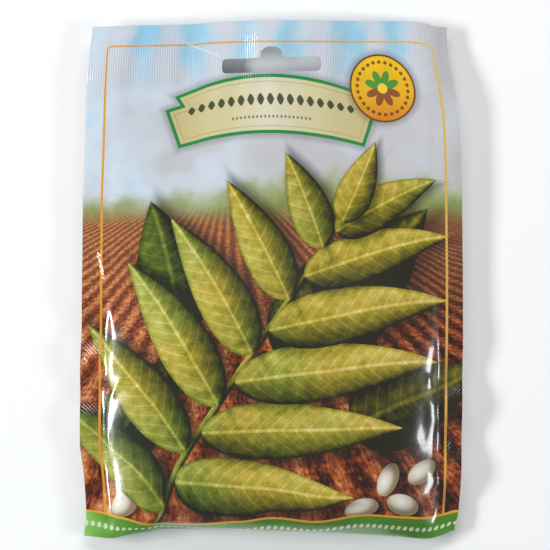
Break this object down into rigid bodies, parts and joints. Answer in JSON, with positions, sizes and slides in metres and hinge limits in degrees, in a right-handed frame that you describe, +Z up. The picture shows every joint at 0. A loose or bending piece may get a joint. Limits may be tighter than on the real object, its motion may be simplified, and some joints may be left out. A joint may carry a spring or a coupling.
{
  "type": "seed packet",
  "caption": "Flat printed film pouch, folded at the bottom and heat sealed round the sides and top, with a hanging slot, filled with bean seeds.",
  "frame": {"origin": "centre of the bounding box at the height of the surface that the packet lies on", "axes": "+Z up, out of the printed front; +Y along the packet towards the hanging slot; +X to the right of the printed front"},
  "size_m": [0.12, 0.1622, 0.0138],
  "materials": {
    "film": "gloss",
    "bean": "satin"
  },
  "bodies": {
    "root": {"film": "film", "bean_01": "bean", "bean_02": "bean", "bean_03": "bean", "bean_04": "bean", "bean_05": "bean", "bean_06": "bean", "bean_07": "bean", "bean_08": "bean", "bean_09": "bean", "bean_10": "bean", "bean_11": "bean", "bean_12": "bean", "bean_13": "bean", "bean_14": "bean", "bean_15": "bean", "bean_16": "bean", "bean_17": "bean", "bean_18": "bean", "bean_19": "bean", "bean_20": "bean", "bean_21": "bean", "bean_22": "bean", "bean_23": "bean", "bean_24": "bean", "bean_25": "bean", "bean_26": "bean", "bean_27": "bean", "bean_28": "bean", "bean_29": "bean", "bean_30": "bean", "bean_31": "bean", "bean_32": "bean", "bean_33": "bean", "bean_34": "bean", "bean_35": "bean", "bean_36": "bean"}
  },
  "joints": []
}
